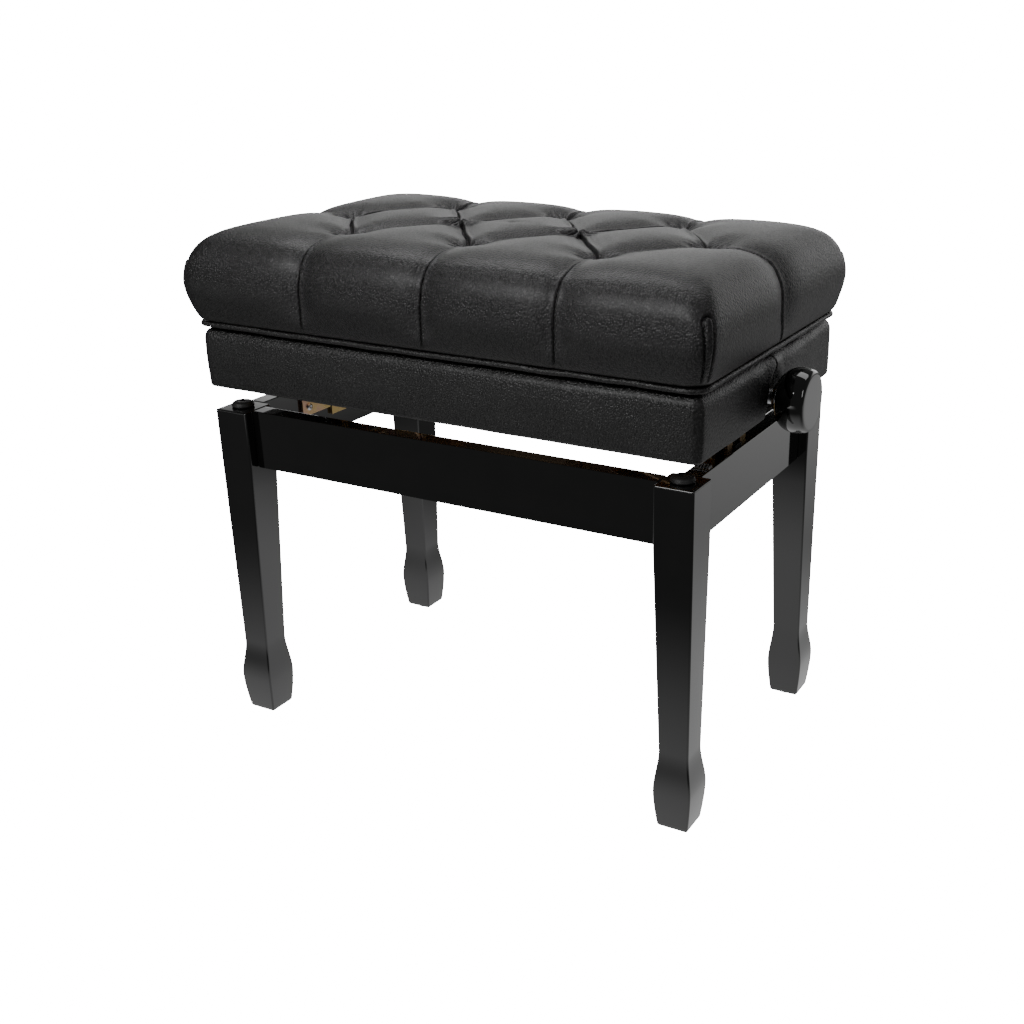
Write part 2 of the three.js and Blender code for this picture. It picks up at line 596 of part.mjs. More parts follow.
// Piping around the seam between cushion and skirt: a round cord swept along a rounded rectangle.
function piping() {
  const x = SKIRT_HALF_LENGTH + 1.3;
  const y = SKIRT_HALF_DEPTH + 1.3;
  const sides = 8;
  const path = roundedRing([-x, x], [-y, y], 14, CUSHION_BOTTOM - PIPING_RADIUS - GAP, 4);
  const rings = path.map((point, i) => {
    const before = path[(i + path.length - 1) % path.length];
    const after = path[(i + 1) % path.length];
    const outward = new THREE.Vector3(after.y - before.y, before.x - after.x, 0).normalize();
    return Array.from({ length: sides }, (_, k) => {
      const angle = (-2 * Math.PI * k) / sides;
      const offset = outward.clone().multiplyScalar(PIPING_RADIUS * Math.cos(angle));
      return point.clone().add(offset).add(new THREE.Vector3(0, 0, PIPING_RADIUS * Math.sin(angle)));
    });
  });
  return loft(rings, true);
}

function buildSeat() {
  const boardX = SKIRT_HALF_LENGTH - SKIRT_THICKNESS - GAP;
  const boardY = SKIRT_HALF_DEPTH - SKIRT_THICKNESS - GAP;
  place('seat_board', box([-boardX, boardX], [-boardY, boardY], [BOARD_BOTTOM, BOARD_TOP]), bareWood);
  const height = [SKIRT_BOTTOM, SKIRT_TOP];
  const length = [-SKIRT_HALF_LENGTH, SKIRT_HALF_LENGTH];
  for (const [face, sy] of FACES) {
    const depth = span(sy, SKIRT_HALF_DEPTH - SKIRT_THICKNESS, SKIRT_HALF_DEPTH);
    place(`skirt_${face}`, box(length, depth, height), leather);
  }
  for (const [end, sx] of ENDS) {
    place(`skirt_${end}`, skirtEnd(sx), leather);
  }
  place('cushion', cushion(), leather);
  place('piping', piping(), leather);
}

buildFrame();
buildLift();
buildSeat();

export default bench;
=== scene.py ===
"""Looks for a height-adjustable piano bench: tufted black leather seat box on a black lacquered frame."""

import json
import math

import bmesh
import bpy
import numpy as np
from mathutils import Matrix, Vector, noise


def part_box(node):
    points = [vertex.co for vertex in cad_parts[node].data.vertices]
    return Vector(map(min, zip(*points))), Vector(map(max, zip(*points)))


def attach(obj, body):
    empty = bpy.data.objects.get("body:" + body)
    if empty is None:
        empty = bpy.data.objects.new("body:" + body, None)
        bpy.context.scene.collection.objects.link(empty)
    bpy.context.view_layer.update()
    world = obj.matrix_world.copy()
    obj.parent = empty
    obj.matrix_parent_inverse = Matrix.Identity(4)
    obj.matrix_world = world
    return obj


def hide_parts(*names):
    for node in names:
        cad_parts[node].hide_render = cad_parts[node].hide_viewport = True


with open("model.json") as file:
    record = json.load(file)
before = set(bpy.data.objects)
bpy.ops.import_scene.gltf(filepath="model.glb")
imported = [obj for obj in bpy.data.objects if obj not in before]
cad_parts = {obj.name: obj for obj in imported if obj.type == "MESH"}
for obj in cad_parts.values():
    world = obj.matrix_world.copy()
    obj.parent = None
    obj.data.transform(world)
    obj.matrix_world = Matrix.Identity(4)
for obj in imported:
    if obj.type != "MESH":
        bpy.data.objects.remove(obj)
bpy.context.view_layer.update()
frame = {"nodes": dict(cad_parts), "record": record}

MM = 0.001

# ---------- driving dimensions, in mm, after those of the solids ----------

FRAME_HALF = (260, 160)
LEG_SIZE = 38
LEG_TOP = 339
APRON_BOTTOM = 280.5
ANKLE_HEIGHT = 82
FOOT_WIDEST_HEIGHT = 42
LEG_BOTTOM = 2.3
LEG_TAPER = 8
FOOT_OUTER_FLARE = 4.8
FOOT_INNER_FLARE = 3.4
FOOT_BOTTOM_INSET = 4

SKIRT_HALF = (264.7, 161.7)
SKIRT_Z = (362, 420)
SKIRT_THICKNESS = 17.8
NOTCH_HALF_WIDTH = 20
NOTCH_HEIGHT = 42

PIPING_HALF = (266, 163)
PIPING_Z = 425.3
PIPING_RADIUS = 2.6

SPINDLE_Z = 380
SPINDLE_RADIUS = 7
THREAD_DEPTH = 1.5
THREAD_PITCH = 3
THREAD_END_X = 208
COLLARS_X = ((209.5, 213), (234.5, 238))

BASE_RAIL_SCREWS_Y = (-58, -34, 34, 58)
TOP_RAIL_SCREWS_Y = (-128, -60, 60, 128)

FLOOR_GLOW = 20.0

ENDS = (("left", -1), ("right", 1))
CORNERS = [(f"{face}_{end}", sx, sy) for face, sy in (("front", -1), ("back", 1)) for end, sx in ENDS]


# ---------- node helpers ----------

def new_material(name, **values):
    """A material with its Principled shader's own sockets set to constants."""
    material = bpy.data.materials.new(name)
    material.use_nodes = True
    shader = material.node_tree.nodes["Principled BSDF"]
    for socket, value in values.items():
        shader.inputs[socket.replace("_", " ")].default_value = value
    return material, shader


def node(material, kind, links=None, **values):
    """Adds a node, sets its properties or input values, and links its inputs."""
    made = material.node_tree.nodes.new(kind)
    for name, value in values.items():
        if hasattr(made, name):
            setattr(made, name, value)
        else:
            made.inputs[name.replace("_", " ")].default_value = value
    for name, output in (links or {}).items():
        material.node_tree.links.new(output, made.inputs[name])
    return made


def link(material, output, socket):
    material.node_tree.links.new(output, socket)


def object_coordinates(material, scale=(1, 1, 1)):
    coordinates = node(material, "ShaderNodeTexCoord")
    mapping = node(material, "ShaderNodeMapping", {"Vector": coordinates.outputs["Object"]})
    mapping.inputs["Scale"].default_value = scale
    return mapping.outputs["Vector"]


def noise_texture(material, vector, scale, detail=3.0, roughness=0.5):
    made = node(material, "ShaderNodeTexNoise", {"Vector": vector}, Scale=scale, Detail=detail)
    made.inputs["Roughness"].default_value = roughness
    return made.outputs["Fac"]


def ramp(material, factor, stops):
    """A colour ramp with stops of (position, colour)."""
    made = node(material, "ShaderNodeValToRGB", {"Fac": factor})
    elements = made.color_ramp.elements
    while len(elements) < len(stops):
        elements.new(0.5)
    for element, (position, colour) in zip(elements, stops):
        element.position = position
        element.color = (*colour, 1)
    return made.outputs["Color"]


def spread(material, factor, low, high):
    """Maps a factor from 0..1 to low..high."""
    made = node(material, "ShaderNodeMapRange", {"Value": factor})
    made.inputs["To Min"].default_value = low
    made.inputs["To Max"].default_value = high
    return made.outputs["Result"]


def bump(material, height, distance, strength=1.0, normal=None):
    made = node(material, "ShaderNodeBump", {"Height": height}, Distance=distance, Strength=strength)
    if normal is not None:
        link(material, normal, made.inputs["Normal"])
    return made.outputs["Normal"]


# ---------- materials ----------

def leather():
    """Black upholstery leather: pebbles about 1.8 mm across with finer pores, satin, in slow patches, with
    painted shade in the crevices between pebbles and painted light on their tops.
    """
    material, shader = new_material("black_leather", Coat_Weight=0.25, Coat_Roughness=0.34, IOR=1.5)
    vector = object_coordinates(material)
    warp = node(material, "ShaderNodeTexNoise", {"Vector": vector}, Scale=350.0, Detail=2.0)
    offset = node(material, "ShaderNodeVectorMath", {0: warp.outputs["Color"]}, operation="SCALE")
    offset.inputs["Scale"].default_value = 0.0012
    bent = node(material, "ShaderNodeVectorMath", {0: vector, 1: offset.outputs["Vector"]}, operation="ADD")
    pebbles = node(material, "ShaderNodeTexVoronoi", {"Vector": bent.outputs["Vector"]}, Scale=560.0)
    pebbles.feature = "SMOOTH_F1"
    pebbles.inputs["Smoothness"].default_value = 0.15
    patches = noise_texture(material, vector, 16.0, 4.0)
    pores = noise_texture(material, vector, 2600.0, 2.0)
    colour = ramp(material, patches, [(0.3, (0.009, 0.009, 0.0095)), (0.75, (0.015, 0.0147, 0.015))])
    # Painted light and shade: the base colour is darkened in the crevices between pebbles and lightened on
    # the pebble tops.
    painted_pebble_light_and_shade = spread(material, pebbles.outputs["Distance"], 1.4, 0.2)
    shaded = node(material, "ShaderNodeVectorMath", {0: colour}, operation="SCALE")
    link(material, painted_pebble_light_and_shade, shaded.inputs["Scale"])
    link(material, shaded.outputs["Vector"], shader.inputs["Base Color"])
    link(material, spread(material, patches, 0.38, 0.44), shader.inputs["Roughness"])
    grain = bump(material, pebbles.outputs["Distance"], -0.0007, 1.0)
    grain = bump(material, pores, 0.00006, 0.5, grain)
    link(material, grain, shader.inputs["Normal"])
    return material


def lacquer():
    """Black polyester lacquer: a mirror with the faintest waviness and hairline polishing marks."""
    material, shader = new_material("black_lacquer", Coat_Weight=1.0, Coat_Roughness=0.015, IOR=1.52)
    vector = object_coordinates(material)
    dust = noise_texture(material, vector, 40.0, 5.0)
    colour = ramp(material, dust, [(0.35, (0.0035, 0.0035, 0.0036)), (0.7, (0.0052, 0.005, 0.005))])
    link(material, colour, shader.inputs["Base Color"])
    link(material, spread(material, dust, 0.03, 0.075), shader.inputs["Roughness"])
    peel = noise_texture(material, vector, 55.0, 1.0)
    marks = noise_texture(material, object_coordinates(material, (900, 900, 14)), 1.0, 2.0)
    surface = bump(material, peel, 0.00012, 0.25)
    link(material, bump(material, marks, 0.00001, 0.15, surface), shader.inputs["Normal"])
    return material


def gloss_plastic():
    material, shader = new_material("gloss_black_plastic", Coat_Weight=1.0, Coat_Roughness=0.01, IOR=1.53)
    vector = object_coordinates(material)
    haze = noise_texture(material, vector, 60.0, 4.0)
    colour = ramp(material, haze, [(0.4, (0.0025, 0.0025, 0.0028)), (0.7, (0.004, 0.004, 0.0042))])
    link(material, colour, shader.inputs["Base Color"])
    link(material, spread(material, haze, 0.02, 0.06), shader.inputs["Roughness"])
    link(material, bump(material, haze, 0.00002, 0.2), shader.inputs["Normal"])
    return material


def yellow_zinc():
    """Yellow passivated zinc: gold that drifts to pink and green, with fine rolling lines."""
    material, shader = new_material("yellow_zinc", Metallic=1.0)
    vector = object_coordinates(material)
    drift = noise_texture(material, vector, 22.0, 5.0, 0.6)
    colour = ramp(material, drift, [
        (0.30, (0.52, 0.50, 0.26)), (0.42, (0.78, 0.58, 0.24)),
        (0.54, (0.86, 0.60, 0.36)), (0.64, (0.72, 0.42, 0.40)), (0.78, (0.60, 0.56, 0.36)),
    ])
    link(material, colour, shader.inputs["Base Color"])
    link(material, spread(material, drift, 0.22, 0.42), shader.inputs["Roughness"])
    lines = noise_texture(material, object_coordinates(material, (260, 9, 260)), 3.0, 3.0)
    link(material, bump(material, lines, 0.00004, 0.4), shader.inputs["Normal"])
    return material


def bright_steel():
    material, shader = new_material("bright_steel", Metallic=1.0)
    vector = object_coordinates(material, (60, 60, 60))
    cloud = noise_texture(material, vector, 1.0, 4.0)
    colour = ramp(material, cloud, [(0.3, (0.46, 0.46, 0.48)), (0.7, (0.64, 0.64, 0.66))])
    link(material, colour, shader.inputs["Base Color"])
    link(material, spread(material, cloud, 0.18, 0.36), shader.inputs["Roughness"])
    scratches = noise_texture(material, object_coordinates(material, (12, 900, 900)), 1.0, 2.0)
    link(material, bump(material, scratches, 0.00003, 0.4), shader.inputs["Normal"])
    return material


def bronze():
    material, shader = new_material("bronze", Metallic=1.0)
    vector = object_coordinates(material)
    cloud = noise_texture(material, vector, 70.0, 5.0)
    colour = ramp(material, cloud, [(0.3, (0.30, 0.16, 0.06)), (0.7, (0.52, 0.32, 0.13))])
    link(material, colour, shader.inputs["Base Color"])
    link(material, spread(material, cloud, 0.28, 0.48), shader.inputs["Roughness"])
    turning = noise_texture(material, object_coordinates(material, (1600, 30, 30)), 1.0, 1.0)
    link(material, bump(material, turning, 0.00004, 0.5), shader.inputs["Normal"])
    return material


def bare_wood():
    """Unfinished wood with grain that runs along X."""
    material, shader = new_material("bare_wood")
    vector = object_coordinates(material, (2.0, 26.0, 26.0))
    rings = node(material, "ShaderNodeTexWave", {"Vector": vector}, Scale=1.2, Distortion=5.0, Detail=4.0)
    rings.bands_direction = "Y"
    fibres = noise_texture(material, object_coordinates(material, (18, 700, 700)), 1.0, 4.0)
    grain = node(material, "ShaderNodeMath", {0: rings.outputs["Fac"], 1: fibres}, operation="MULTIPLY")
    colour = ramp(material, grain.outputs["Value"], [(0.05, (0.30, 0.18, 0.085)), (0.6, (0.56, 0.39, 0.21))])
    link(material, colour, shader.inputs["Base Color"])
    link(material, spread(material, fibres, 0.55, 0.8), shader.inputs["Roughness"])
    link(material, bump(material, fibres, 0.00012, 0.6), shader.inputs["Normal"])
    return material


def moulded(name, light, dark, rough, texture_scale, depth):
    """A moulded plastic or rubber with a fine spark-eroded texture."""
    material, shader = new_material(name)
    vector = object_coordinates(material)
    texture = noise_texture(material, vector, texture_scale, 3.0)
    patches = noise_texture(material, vector, 45.0, 3.0)
    link(material, ramp(material, patches, [(0.3, dark), (0.7, light)]), shader.inputs["Base Color"])
    link(material, spread(material, patches, *rough), shader.inputs["Roughness"])
    link(material, bump(material, texture, depth, 0.5), shader.inputs["Normal"])
    return material


MATERIALS = {
    "black_leather": leather(),
    "black_lacquer": lacquer(),
    "gloss_black_plastic": gloss_plastic(),
    "yellow_zinc": yellow_zinc(),
    "bright_steel": bright_steel(),
    "bronze": bronze(),
    "bare_wood": bare_wood(),
    "black_rubber": moulded("black_rubber", (0.016,) * 3, (0.010,) * 3, (0.42, 0.6), 900.0, 0.00006),
    "black_nylon": moulded("black_nylon", (0.030,) * 3, (0.020,) * 3, (0.4, 0.55), 1400.0, 0.00004),
}


# ---------- mesh helpers ----------

def make_object(name, vertices, faces, slot):
    """A smooth-shaded object in the row frame, from vertices in mm."""
    mesh = bpy.data.meshes.new(name)
    mesh.from_pydata((np.asarray(vertices, float) * MM).tolist(), [], faces)
    tidy = bmesh.new()
    tidy.from_mesh(mesh)
    bmesh.ops.recalc_face_normals(tidy, faces=tidy.faces)
    tidy.to_mesh(mesh)
    tidy.free()
    mesh.shade_smooth()
    mesh.materials.append(MATERIALS[slot])
    made = bpy.data.objects.new(name, mesh)
    bpy.context.scene.collection.objects.link(made)
    return made


def loft(name, rings, slot, endless=False):
    """Skins rings of equal point counts, with flat ends or joined end to end."""
    rings = np.asarray(rings, float)
    count = rings.shape[1]
    spans = len(rings) if endless else len(rings) - 1
    faces = []
    for ring in range(spans):
        here = ring * count
        there = (ring + 1) % len(rings) * count
        for i in range(count):
            j = (i + 1) % count
            faces.append((here + i, here + j, there + j, there + i))
    if not endless:
        last = (len(rings) - 1) * count
        faces.append(tuple(range(count)))
        faces.append(tuple(range(last, last + count)))
    return make_object(name, rings.reshape(-1, 3), faces, slot)


def turned(name, profile, slot, segments=64):
    """A turned piece about +Z from (radius, height) points that start and end on the axis."""
    inner = profile[1:-1]
    rings = []
    for radius, height in inner:
        angles = np.linspace(0, 2 * math.pi, segments, endpoint=False)
        heights = np.full(segments, height)
        rings.append(np.column_stack([radius * np.cos(angles), radius * np.sin(angles), heights]))
    vertices = np.vstack([*rings, [[0, 0, profile[0][1]], [0, 0, profile[-1][1]]]])
    start = len(inner) * segments
    last = (len(inner) - 1) * segments
    faces = []
    for i in range(segments):
        j = (i + 1) % segments
        for ring in range(len(inner) - 1):
            here = ring * segments
            faces.append((here + i, here + j, here + segments + j, here + segments + i))
        faces.append((start, i, j))
        faces.append((start + 1, last + j, last + i))
    return make_object(name, vertices, faces, slot)


def place(piece, body, *replaced, slot):
    """Puts a finished piece on its body, in place of its CAD nodes; slot is not used."""
    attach(piece, body)
    if replaced:
        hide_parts(*replaced)
    return piece


def move(piece, matrix):
    """Moves a piece's vertices, so that its object stays at the origin."""
    piece.data.transform(matrix)
    return piece


def crisp_edges(piece):
    """Keeps flat faces flat between their rounded edges."""
    weighted = piece.modifiers.new("weighted normals", "WEIGHTED_NORMAL")
    weighted.keep_sharp = True
    return piece


def outline(half, radius, spacing, steps=8, dense=None):
    """Points around a rounded rectangle with their outward normals, counter-clockwise from above.

    dense is a half-width about the middle of each end, in which points are 0.7 mm apart.
    """
    half_x, half_y = half
    corners = [(1, 1, 0), (-1, 1, 1), (-1, -1, 2), (1, -1, 3)]
    points = []
    for sx, sy, quarter in corners:
        for i in range(steps + 1):
            angle = (quarter + i / steps) * math.pi / 2
            along = Vector((math.cos(angle), math.sin(angle)))
            centre = Vector((sx * (half_x - radius), sy * (half_y - radius)))
            points.append((*(centre + radius * along), *along))
        length = 2 * (half_x - radius) if quarter in (0, 2) else 2 * (half_y - radius)
        stops = np.linspace(0, 1, max(2, int(length / spacing)) + 1)[1:-1]
        if dense and quarter in (1, 3):
            middle = 0.5 + np.arange(-dense, dense + 0.1, 0.7) / length
            stops = np.concatenate([stops[np.abs(stops - 0.5) * length > dense], middle])
            stops.sort()
        ahead = Vector((math.cos((quarter + 1) * math.pi / 2), math.sin((quarter + 1) * math.pi / 2)))
        run = Vector((-ahead.y, ahead.x))
        start = Vector(points[-1][:2])
        for stop in stops:
            points.append((*(start + run * length * float(stop)), *ahead))
    return np.array(points)


# ---------- wooden frame ----------

def smooth(t):
    return t * t * (3 - 2 * t)


def leg_outline(z):
    """How far the outer leg face stands out and the inner face draws in, at height z."""
    taper = LEG_TAPER * min(max((APRON_BOTTOM - z) / (APRON_BOTTOM - ANKLE_HEIGHT), 0), 1)
    below = min(max((ANKLE_HEIGHT - z) / (ANKLE_HEIGHT - FOOT_WIDEST_HEIGHT), 0), 1)
    under = min(max((FOOT_WIDEST_HEIGHT - z) / FOOT_WIDEST_HEIGHT, 0), 1) ** 1.6
    outward = FOOT_OUTER_FLARE * smooth(below) - FOOT_BOTTOM_INSET * under
    inward = taper - FOOT_INNER_FLARE * smooth(below) + FOOT_BOTTOM_INSET * under
    return outward, inward


def rounded_square(x, y, z, radius, steps=4):
    corners = [(x[1] - radius, y[1] - radius), (x[0] + radius, y[1] - radius),
               (x[0] + radius, y[0] + radius), (x[1] - radius, y[0] + radius)]
    ring = []
    for quarter, (cx, cy) in enumerate(corners):
        for i in range(steps + 1):
            angle = (quarter + i / steps) * math.pi / 2
            ring.append((cx + radius * math.cos(angle), cy + radius * math.sin(angle), z))
    return ring


def build_legs():
    """Four legs with a taper on their inner faces and spade feet, softly rounded on every edge."""
    edge = 1.8
    levels = [(LEG_BOTTOM, 2.0), (LEG_BOTTOM + 0.6, 0.7), (LEG_BOTTOM + 2, 0.0)]
    levels += [(z, 0.0) for z in np.arange(LEG_BOTTOM + 5, ANKLE_HEIGHT + 6, 2.5)]
    levels += [(z, 0.0) for z in np.linspace(ANKLE_HEIGHT + 14, APRON_BOTTOM, 8)]
    levels += [(LEG_TOP - 1.5, 0.0), (LEG_TOP - 0.45, 0.4), (LEG_TOP, 1.5)]
    for corner, sx, sy in CORNERS:
        rings = []
        for z, trim in levels:
            outward, inward = leg_outline(z)
            spans = []
            for half, side in zip(FRAME_HALF, (sx, sy)):
                near = half - LEG_SIZE + inward + trim
                far = half + outward - trim
                spans.append(sorted((side * near, side * far)))
            rings.append(rounded_square(*spans, z, edge))
        leg = loft(f"leg_lacquered_{corner}", rings, "black_lacquer")
        place(crisp_edges(leg), "frame", f"leg_{corner}", slot="black_lacquer")


def build_bumpers():
    """Moulded rubber bumpers on the leg tops."""
    for corner, _, _ in CORNERS:
        low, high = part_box(f"bumper_{corner}")
        centre = (low + high) / 2
        radius = (high.x - low.x) / 2 / MM
        tall = (high.z - low.z) / MM
        profile = [(0, 0), (radius - 1.2, 0), (radius - 0.3, 0.4), (radius, 1.3), (radius - 0.2, 2.6)]
        for angle in np.linspace(0, 80, 7):
            turn = math.radians(angle)
            profile.append((radius - 3.4 + 3 * math.cos(turn), tall - 3 + 2.7 * math.sin(turn)))
        profile += [(radius - 5.2, tall - 0.12), (2.8, tall), (2.2, tall - 0.9), (0, tall - 1)]
        bumper = turned(f"rubber_bumper_{corner}", profile, "black_rubber", 56)
        move(bumper, Matrix.Translation((centre.x, centre.y, low.z)))
        place(bumper, "frame", f"bumper_{corner}", slot="black_rubber")


# ---------- lifting mechanism ----------

def build_knobs():
    """Polished mushroom knobs with a flat face."""
    low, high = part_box("knob_right")
    depth = (high.x - low.x) / MM
    radius = (high.z - low.z) / 2 / MM
    body = [(13, 5), (radius - 3, 4.5), (radius + 3, depth * 0.5), (radius - 1.4, depth - 3.5)]
    rim = [(radius - 1.4, depth - 3.5), (radius - 2.2, depth - 0.2), (radius - 5.5, depth)]
    profile = [(0, 0.2), (7.5, 0.2), (8.2, 0), (11.4, 0), (12, 0.6)]
    for t in np.linspace(0, 1, 26):
        weights = ((1 - t) ** 3, 3 * t * (1 - t) ** 2, 3 * t * t * (1 - t), t ** 3)
        profile.append(tuple(sum(w * p[k] for w, p in zip(weights, body)) for k in (0, 1)))
    for t in np.linspace(0, 1, 9)[1:]:
        weights = ((1 - t) ** 2, 2 * t * (1 - t), t * t)
        profile.append(tuple(sum(w * p[k] for w, p in zip(weights, rim)) for k in (0, 1)))
    profile += [(radius - 9, depth), (0, depth)]
    for end, sx in ENDS:
        knob = turned(f"polished_knob_{end}", profile, "gloss_black_plastic", 96)
        turn = Matrix.Rotation(sx * math.pi / 2, 4, "Y")
        start = low.x if sx > 0 else -low.x
        move(knob, Matrix.Translation((start, 0, SPINDLE_Z * MM)) @ turn)
        place(knob, "screw", f"knob_{end}", slot="gloss_black_plastic")


def build_spindle():
    """The spindle with its left-hand and right-hand threads, its collars and plain ends."""
    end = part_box("spindle")[1].x / MM
    radius = SPINDLE_RADIUS
    sides = 24
    stations = [(x, None) for x in np.arange(-THREAD_END_X, THREAD_END_X + 0.1, THREAD_PITCH / 8)]
    for inner, outer in COLLARS_X:
        for sign in (-1, 1):
            steps = [(inner - 0.05, radius), (inner, 10.4), (inner + 0.5, 11)]
            steps += [(outer - 0.5, 11), (outer, 10.4), (outer + 0.05, radius)]
            stations += [(sign * x, r) for x, r in steps]
    stations += [(sign * x, r) for sign in (-1, 1) for x, r in ((end - 1, radius), (end, radius - 1))]
    stations.sort(key=lambda station: station[0])
    angles = np.linspace(0, 2 * math.pi, sides, endpoint=False)
    rings = []
    for x, fixed in stations:
        around = np.full(sides, radius if fixed is None else fixed, float)
        if fixed is None:
            hand = 1 if x > 0 else -1
            phase = (x / THREAD_PITCH - hand * angles / (2 * math.pi)) % 1
            fade = min(1.0, (abs(x) - 14) / 4) if abs(x) > 14 else 0.0
            fade *= min(1.0, (THREAD_END_X - abs(x)) / 4)
            around -= THREAD_DEPTH * fade * np.clip(1.35 * np.abs(2 * phase - 1) - 0.15, 0, 1)
        heights = SPINDLE_Z + around * np.sin(angles)
        rings.append(np.column_stack([np.full(sides, x), around * np.cos(angles), heights]))
    spindle = loft("threaded_spindle", rings, "bright_steel")
    place(spindle, "screw", "spindle", slot="bright_steel")


def screw_head(name, body, point, direction):
    """A pan-head screw with a cross recess, its head seated at point and facing along direction."""
    profile = [(0, -7), (1.4, -6), (1.9, -5), (1.9, 0), (4.1, 0), (4.1, 0.5), (3.8, 1.3), (3.1, 1.9),
               (2.0, 2.25), (1.3, 2.3), (0.7, 1.4), (0, 1.3)]
    screw = turned(name, profile, "bright_steel", 24)
    aim = Vector((0, 0, 1)).rotation_difference(Vector(direction)).to_matrix().to_4x4()
    move(screw, Matrix.Translation(Vector(point) * MM) @ aim)
    return place(screw, body, slot="bright_steel")


def build_screws():
    """Screws in the holes of the rails."""
    for end, sx in ENDS:
        low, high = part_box(f"base_rail_{end}")
        tab_face = sx * (high.x if sx > 0 else -low.x) / MM - sx * 3
        for number, y in enumerate(BASE_RAIL_SCREWS_Y, 1):
            screw_head(f"rail_screw_{end}_{number}", "frame", (tab_face, y, low.z / MM + 9), (-sx, 0, 0))
        low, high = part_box(f"top_rail_{end}")
        middle = (low.x + high.x) / 2 / MM
        under = high.z / MM - 3
        for number, y in enumerate(TOP_RAIL_SCREWS_Y, 1):
            screw_head(f"seat_screw_{end}_{number}", "seat", (middle, y, under), (0, 0, -1))


# ---------- seat ----------

def wander(point, scale, amount):
    """A slow wander in mm that differs from place to place, the same on every run."""
    return amount * noise.noise(Vector(point) / scale)


def skirt_section(bottom, top, puff):
    """(outward, z) points around the leather-covered board, from its inner lower edge."""
    lower = 3.2
    upper = 11.0
    points = [(-SKIRT_THICKNESS, bottom + 1.2), (-SKIRT_THICKNESS + 1.2, bottom)]
    for angle in np.linspace(-90, 0, 6):
        turn = math.radians(angle)
        points.append((lower * (math.cos(turn) - 1), bottom + lower * (1 + math.sin(turn))))
    for v in np.linspace(0, 1, 12)[1:-1]:
        z = bottom + lower + v * (top - upper - bottom - lower)
        points.append((0, z))
    for angle in np.linspace(0, 90, 8):
        turn = math.radians(angle)
        points.append((0.75 * upper * (math.cos(turn) - 1), top - upper * (1 - math.sin(turn))))
    points += [(-SKIRT_THICKNESS + 1.2, top), (-SKIRT_THICKNESS, top - 1.2)]
    swollen = []
    for offset, z in points:
        rise = max(0.0, min(1.0, (z - bottom) / (top - bottom)))
        outside = max(0.0, 1 + offset / 6)
        swollen.append((offset + puff * outside * math.sin(math.pi * rise) ** 0.7, z))
    return swollen


def notch_rise(y):
    """How far the lower edge of an end panel rises over the spindle, a pointed arch."""
    across = min(1.0, abs(y) / NOTCH_HALF_WIDTH)
    return NOTCH_HEIGHT * (1 - across ** 1.5) ** 0.75


def build_skirt():
    """One leather sleeve around the seat box, with an arch and a stitched slit at either end."""
    bottom, top = SKIRT_Z
    half_x, half_y = SKIRT_HALF
    rings = []
    for x, y, nx, ny in outline(SKIRT_HALF, 8, 5, 8, dense=27):
        at_end = abs(nx) > 0.9
        edge = bottom + (notch_rise(y) if at_end and abs(y) < NOTCH_HALF_WIDTH else 0)
        if at_end:
            puff = 1.0 + 3.0 * max(0.0, 1 - (y / half_y) ** 2)
        else:
            puff = 1.6 * max(0.0, 1 - (x / half_x) ** 6)
        slit = 2.4 * math.exp(-(y / 1.1) ** 2) if at_end else 0
        ring = []
        for offset, z in skirt_section(edge, top, puff):
            outside = max(0.0, 1 + offset / 6)
            ripple = outside * wander((x, y, z), 38, 0.9)
            out = offset + ripple - slit * outside
            ring.append((x + nx * out, y + ny * out, z))
        rings.append(ring)
    skirt = loft("leather_skirt", rings, "black_leather", endless=True)
    nodes = [f"skirt_{side}" for side in ("front", "back", "left", "right")]
    place(skirt, "seat", *nodes, slot="black_leather")


def build_piping():
    """A leather-covered cord whose flange widens inwards to fill the gap between cushion and skirt."""
    rings = []
    for x, y, nx, ny in outline(PIPING_HALF, 14, 4, 10):
        lift = wander((x, y, 0), 30, 0.7)
        swell = 1 + wander((x, y, 50), 18, 0.12)
        ring = [(-13, -7)]
        for angle in np.linspace(-165, 165, 16):
            turn = math.radians(angle)
            ring.append((PIPING_RADIUS * swell * math.cos(turn), PIPING_RADIUS * swell * math.sin(turn)))
        ring.append((-13, 4.5))
        rings.append([(x + nx * out, y + ny * out, PIPING_Z + up + lift) for out, up in ring])
    piping = loft("leather_piping", rings, "black_leather", endless=True)
    place(piping, "seat", "piping", slot="black_leather")


# ---------- tufted cushion ----------

CUSHION_HALF = (277, 174)
CUSHION_BOTTOM = 428
CUSHION_PROFILE_TOP = 516
CUSHION_CORNER_RADIUS = 15
RIM_HEIGHT = 16
PILLOW_CAP = 7.0
SEAM_DROP = 10.0
TUFT_DROP = 18.0
VALLEY_WIDTH = 16.0
VOXEL_SIZE = 5
TUCK_SHIFT = 3
TUFT_SPACING = 132
FRONT_ROW_Y = -86
BACK_ROW_Y = 89
FRONT_TUFTS = [(x * TUFT_SPACING, FRONT_ROW_Y) for x in (-1, 0, 1)]
MIDDLE_TUFTS = [(x * TUFT_SPACING, 0) for x in (-1.5, -0.5, 0.5, 1.5)]
BACK_TUFTS = [(x * TUFT_SPACING, BACK_ROW_Y) for x in (-1, 0, 1)]
TUFTS = np.array(FRONT_TUFTS + MIDDLE_TUFTS + BACK_TUFTS, float)
PLEATS = [
    (middle, outer) for middle in MIDDLE_TUFTS for outer in FRONT_TUFTS + BACK_TUFTS
    if abs(middle[0] - outer[0]) < TUFT_SPACING * 0.75
]
SEAMS = [(tuft, (tuft[0] * 1.015, -200)) for tuft in FRONT_TUFTS]
SEAMS += [(tuft, (tuft[0] * 1.015, 200)) for tuft in BACK_TUFTS]
END_FOLDS = [(MIDDLE_TUFTS[0], (-300, 0)), (MIDDLE_TUFTS[-1], (300, 0))]


